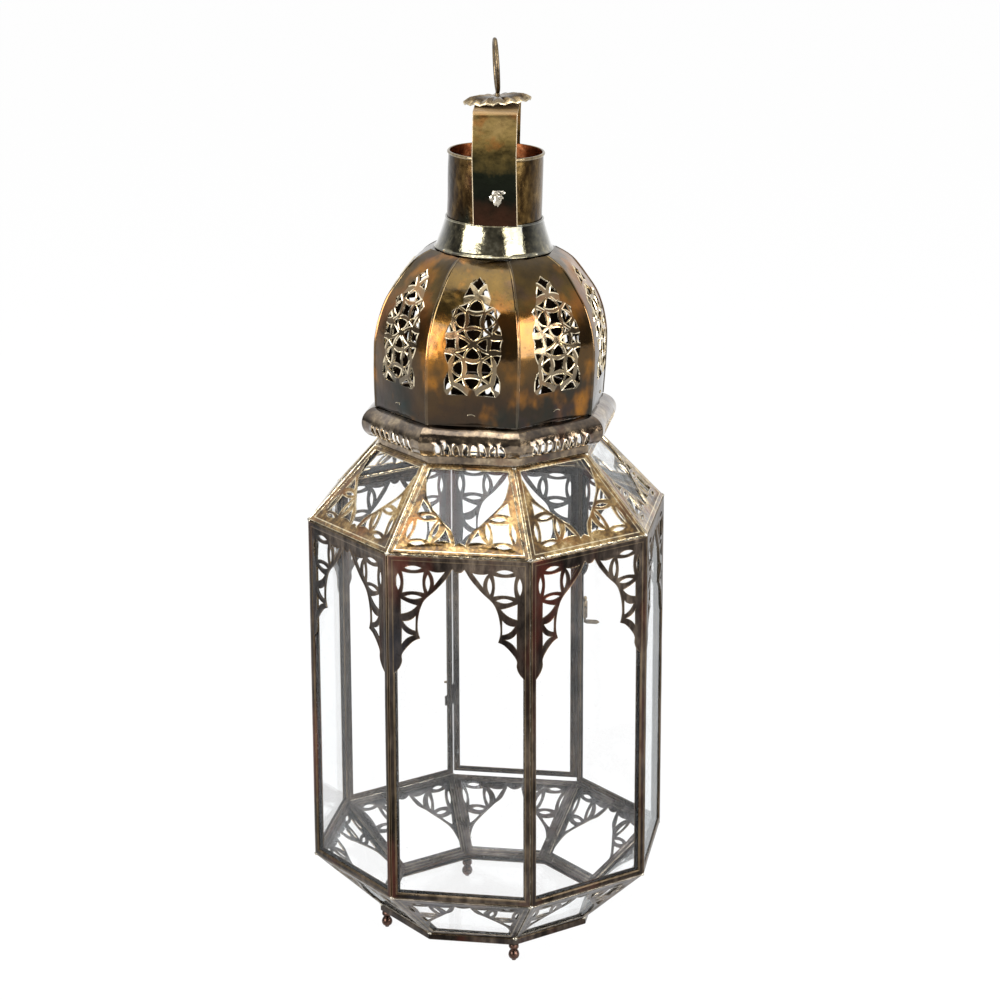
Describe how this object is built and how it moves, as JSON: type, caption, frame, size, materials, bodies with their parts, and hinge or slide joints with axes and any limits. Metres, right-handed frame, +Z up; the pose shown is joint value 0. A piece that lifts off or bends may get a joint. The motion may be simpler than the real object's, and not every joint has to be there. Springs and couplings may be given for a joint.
{
  "type": "octagonal candle lantern",
  "caption": "Octagonal glass and pierced brass candle lantern with a hinged door, a domed top, an open chimney, a carrying strap and a swivelling hanging ring.",
  "frame": {"origin": "under the middle of the lantern, at the height that its feet stand on", "axes": "+Z up along the lantern; the door faces +Y and the front pane faces -Y"},
  "size_m": [0.2198, 0.224, 0.5947],
  "materials": {
    "clear_glass": "clear, faintly smudged window glass",
    "dark_bronze": "aged dark brown brass channel, satin",
    "golden_bronze": "aged golden ochre brass, satin",
    "dome_bronze": "heat-coloured dark brass sheet, semi-gloss",
    "polished_brass": "aged brass with worn bright highlights",
    "wire_bronze": "dull brass wire",
    "coppered_foot": "coppery solder-coloured ball feet"
  },
  "bodies": {
    "body": {"shoulder_glass_0": "clear_glass", "shoulder_glass_1": "clear_glass", "shoulder_glass_2": "clear_glass", "shoulder_glass_3": "clear_glass", "shoulder_glass_4": "clear_glass", "shoulder_glass_5": "clear_glass", "shoulder_glass_6": "clear_glass", "shoulder_glass_7": "clear_glass", "wall_glass_0": "clear_glass", "wall_glass_1": "clear_glass", "wall_glass_2": "clear_glass", "wall_glass_3": "clear_glass", "wall_glass_5": "clear_glass", "wall_glass_6": "clear_glass", "wall_glass_7": "clear_glass", "skirt_glass_0": "clear_glass", "skirt_glass_1": "clear_glass", "skirt_glass_2": "clear_glass", "skirt_glass_3": "clear_glass", "skirt_glass_4": "clear_glass", "skirt_glass_5": "clear_glass", "skirt_glass_6": "clear_glass", "skirt_glass_7": "clear_glass", "floor_glass": "clear_glass", "wall_frame_0": "dark_bronze", "wall_frame_1": "dark_bronze", "wall_frame_2": "dark_bronze", "wall_frame_3": "dark_bronze", "wall_frame_5": "dark_bronze", "wall_frame_6": "dark_bronze", "wall_frame_7": "dark_bronze", "skirt_frame": "dark_bronze", "floor_frame": "dark_bronze", "shoulder_frame_0": "golden_bronze", "shoulder_frame_1": "golden_bronze", "shoulder_frame_2": "golden_bronze", "shoulder_frame_3": "golden_bronze", "shoulder_frame_4": "golden_bronze", "shoulder_frame_5": "golden_bronze", "shoulder_frame_6": "golden_bronze", "shoulder_frame_7": "golden_bronze", "dome": "dome_bronze", "chimney": "dome_bronze", "bead_ring": "polished_brass", "collar": "polished_brass", "strap": "polished_brass", "rosette": "polished_brass", "rivet_front": "polished_brass", "rivet_back": "polished_brass", "hinge_pin_lower": "wire_bronze", "hinge_pin_upper": "wire_bronze", "latch_tube": "wire_bronze", "foot_0": "coppered_foot", "foot_1": "coppered_foot", "foot_2": "coppered_foot", "foot_3": "coppered_foot"},
    "door": {"door_frame": "dark_bronze", "door_glass": "clear_glass"},
    "latch": {"latch_wire": "wire_bronze"},
    "ring": {"hanging_ring": "wire_bronze"}
  },
  "joints": [
    {"name": "door_hinge", "type": "hinge", "parent": "body", "child": "door", "pos_m": [-0.04646, 0.11216, 0.16845], "axis": [0, 0, 1], "range_deg": [0, 150]},
    {"name": "latch_turn", "type": "hinge", "parent": "body", "child": "latch", "pos_m": [0.04851, 0.11121, 0.1743], "axis": [0, 0, 1], "range_deg": [-30, 180]},
    {"name": "ring_swivel", "type": "hinge", "parent": "body", "child": "ring", "pos_m": [0.00414, 0.00069, 0.4616], "axis": [0.0275, 0.0046, 0.9996], "continuous": true}
  ]
}
